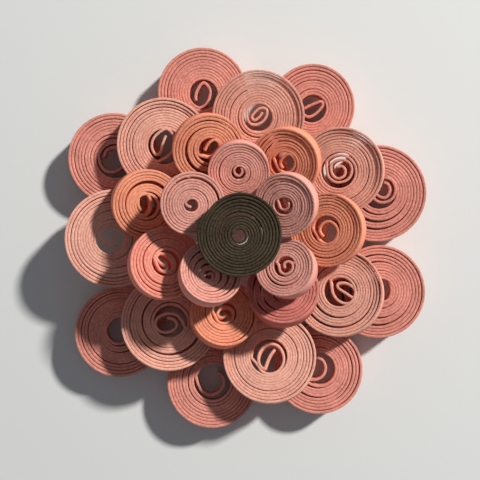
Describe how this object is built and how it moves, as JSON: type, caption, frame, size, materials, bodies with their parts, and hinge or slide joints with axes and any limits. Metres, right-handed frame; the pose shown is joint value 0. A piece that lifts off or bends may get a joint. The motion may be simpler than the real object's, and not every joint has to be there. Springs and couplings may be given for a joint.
{
  "type": "quilled paper flower",
  "caption": "Flower of quilled paper: rings of flat wound strip rolls in pinks and oranges, each ring leaning in on the one below, closed by a dark centre roll.",
  "frame": {"origin": "on the table, under the middle of the flower's outline", "axes": "+Z up out of the flower's face; +Y is up in the picture, +X to its right"},
  "size_m": [0.0552, 0.0588, 0.0174],
  "materials": {
    "dusty_coral_paper": "matt uncoated paper, fibrous cut edges",
    "pale_blush_paper": "matt uncoated paper, fibrous cut edges",
    "peach_orange_paper": "matt uncoated paper, fibrous cut edges",
    "coral_red_paper": "matt uncoated paper, fibrous cut edges",
    "dusty_rose_paper": "matt uncoated paper, fibrous cut edges",
    "mauve_pink_paper": "matt uncoated paper, fibrous cut edges",
    "dark_olive_paper": "matt uncoated paper, fibrous cut edges"
  },
  "bodies": {
    "root": {"outer_roll_1": "dusty_coral_paper", "outer_roll_2": "dusty_coral_paper", "outer_roll_3": "dusty_coral_paper", "outer_roll_4": "dusty_coral_paper", "outer_roll_5": "dusty_coral_paper", "outer_roll_6": "dusty_coral_paper", "outer_roll_7": "dusty_coral_paper", "outer_roll_8": "dusty_coral_paper", "second_roll_1": "pale_blush_paper", "second_roll_2": "pale_blush_paper", "second_roll_3": "pale_blush_paper", "second_roll_4": "pale_blush_paper", "second_roll_5": "pale_blush_paper", "second_roll_6": "pale_blush_paper", "second_roll_7": "pale_blush_paper", "third_roll_1": "peach_orange_paper", "third_roll_2": "peach_orange_paper", "third_roll_3": "peach_orange_paper", "third_roll_4": "peach_orange_paper", "third_roll_5": "dusty_rose_paper", "third_roll_6": "peach_orange_paper", "third_roll_7": "coral_red_paper", "inner_roll_1": "mauve_pink_paper", "inner_roll_2": "mauve_pink_paper", "inner_roll_3": "mauve_pink_paper", "inner_roll_4": "mauve_pink_paper", "inner_roll_5": "mauve_pink_paper", "centre_roll": "dark_olive_paper"}
  },
  "joints": []
}
